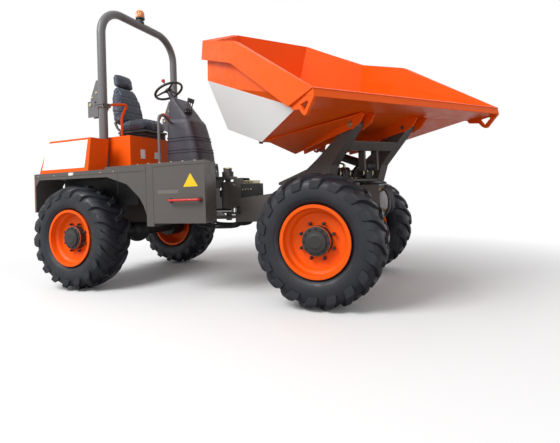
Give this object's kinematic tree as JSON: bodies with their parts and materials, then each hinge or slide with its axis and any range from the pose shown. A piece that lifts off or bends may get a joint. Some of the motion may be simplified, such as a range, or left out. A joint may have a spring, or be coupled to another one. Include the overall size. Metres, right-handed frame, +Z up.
{
  "type": "site dumper with swivelling skip",
  "caption": "Articulated site dumper with a tipping, swivelling skip on a turntable, a roll-over hoop, agricultural tyres and a seated driver's station.",
  "frame": {"origin": "on the ground at the middle of the overall box, skip swivelled and part tipped as parked", "axes": "+X forward along the machine, +Y to its left, +Z up"},
  "size_m": [5.0592, 3.0178, 3.555],
  "materials": {
    "grey_paint": "satin",
    "orange_paint": "gloss",
    "tyre": "matte",
    "seat_vinyl": "satin",
    "console_plastic": "matte",
    "black_plastic": "matte",
    "amber_lens": "gloss",
    "rod_chrome": "polished"
  },
  "bodies": {
    "rear_unit": {"rear_frame": "grey_paint", "rear_axle": "grey_paint", "engine_block": "grey_paint", "tow_hitch": "grey_paint", "deck": "grey_paint", "fender_left": "grey_paint", "fender_right": "grey_paint", "side_box_left": "grey_paint", "side_box_right": "grey_paint", "hood_side_left": "orange_paint", "hood_side_right": "orange_paint", "grab_rail_left": "orange_paint", "grab_rail_right": "orange_paint", "rops_base_left": "grey_paint", "rops_base_right": "grey_paint", "seat_box": "orange_paint", "seat_cushion": "seat_vinyl", "seat_back": "seat_vinyl", "headrest": "seat_vinyl", "console": "console_plastic", "levers": "black_plastic"},
    "front_unit": {"front_frame": "grey_paint", "front_axle": "grey_paint", "slew_ring": "grey_paint", "valve_block": "grey_paint"},
    "turntable": {"subframe": "grey_paint"},
    "skip": {"skip_shell": "orange_paint", "skip_band": "orange_paint", "skip_ears": "orange_paint"},
    "tip_barrel": {"tip_barrel": "grey_paint"},
    "tip_rod": {"tip_rod": "rod_chrome"},
    "steer_barrel": {"steer_barrel": "grey_paint"},
    "steer_rod": {"steer_rod": "rod_chrome"},
    "bonnet": {"bonnet": "orange_paint"},
    "rops_hoop": {"rops_hoop": "grey_paint", "beacon": "amber_lens"},
    "steering_wheel": {"steering_wheel": "black_plastic"},
    "wheel_front_right": {"tyre_front_right": "tyre", "rim_front_right": "orange_paint"},
    "wheel_front_left": {"tyre_front_left": "tyre", "rim_front_left": "orange_paint"},
    "wheel_rear_right": {"tyre_rear_right": "tyre", "rim_rear_right": "orange_paint"},
    "wheel_rear_left": {"tyre_rear_left": "tyre", "rim_rear_left": "orange_paint"}
  },
  "joints": [
    {"name": "articulation", "type": "hinge", "parent": "rear_unit", "child": "front_unit", "pos_m": [-0.44458, 0.12395, 0.98], "axis": [0, 0, 1], "range_deg": [-30, 30]},
    {"name": "skip_swivel", "type": "hinge", "parent": "front_unit", "child": "turntable", "pos_m": [0.84842, 0.12395, 1.1], "axis": [0, 0, 1], "range_deg": [-52.1, 127.9]},
    {"name": "skip_tip", "type": "hinge", "parent": "turntable", "child": "skip", "pos_m": [1.53492, -0.41048, 1.587], "axis": [0.6143, 0.7891, 0], "range_deg": [-18, 42]},
    {"name": "tip_ram_swing", "type": "hinge", "parent": "turntable", "child": "tip_barrel", "pos_m": [1.36132, -0.27533, 1.24], "axis": [0.6143, 0.7891, 0], "range_deg": [-18.51, 42.91]},
    {"name": "tip_ram_stroke", "type": "slide", "parent": "tip_barrel", "child": "tip_rod", "axis": [-0.7569, 0.5892, 0.2826], "range_m": [-0.1283, 0.2967]},
    {"name": "steer_ram_swing", "type": "hinge", "parent": "rear_unit", "child": "steer_barrel", "pos_m": [-1.08958, -0.26605, 0.84], "axis": [0, 0, 1], "range_deg": [-9.44, 9.44]},
    {"name": "steer_ram_stroke", "type": "slide", "parent": "steer_barrel", "child": "steer_rod", "axis": [1, 0, 0], "range_m": [-0.2029, 0.2029]},
    {"name": "wheel_spin_front_right", "type": "hinge", "parent": "front_unit", "child": "wheel_front_right", "pos_m": [1.01042, -0.76105, 0.5885], "axis": [0, 1, 0], "continuous": true},
    {"name": "wheel_spin_front_left", "type": "hinge", "parent": "front_unit", "child": "wheel_front_left", "pos_m": [1.01042, 1.00895, 0.5885], "axis": [0, 1, 0], "continuous": true},
    {"name": "wheel_spin_rear_right", "type": "hinge", "parent": "rear_unit", "child": "wheel_rear_right", "pos_m": [-1.88958, -0.76105, 0.5885], "axis": [0, 1, 0], "continuous": true},
    {"name": "wheel_spin_rear_left", "type": "hinge", "parent": "rear_unit", "child": "wheel_rear_left", "pos_m": [-1.88958, 1.00895, 0.5885], "axis": [0, 1, 0], "continuous": true},
    {"name": "steering_wheel_turn", "type": "hinge", "parent": "rear_unit", "child": "steering_wheel", "pos_m": [-1.29758, 0.12395, 2.395], "axis": [-0.4555, 0, 0.8902], "continuous": true},
    {"name": "hoop_fold", "type": "hinge", "parent": "rear_unit", "child": "rops_hoop", "pos_m": [-1.88958, 0.12395, 2.15], "axis": [0, 1, 0], "range_deg": [-100, 0]},
    {"name": "bonnet_open", "type": "hinge", "parent": "rear_unit", "child": "bonnet", "pos_m": [-2.43458, 0.12395, 1.365], "axis": [0, 1, 0], "range_deg": [-75, 0]}
  ],
  "couplings": [
    {"joint": "tip_ram_swing", "follows": "skip_tip", "ratio": 1.017},
    {"joint": "tip_ram_stroke", "follows": "skip_tip", "m_per_rad": 0.402},
    {"joint": "steer_ram_swing", "follows": "articulation", "ratio": 0.308},
    {"joint": "steer_ram_stroke", "follows": "articulation", "m_per_rad": 0.3837}
  ]
}
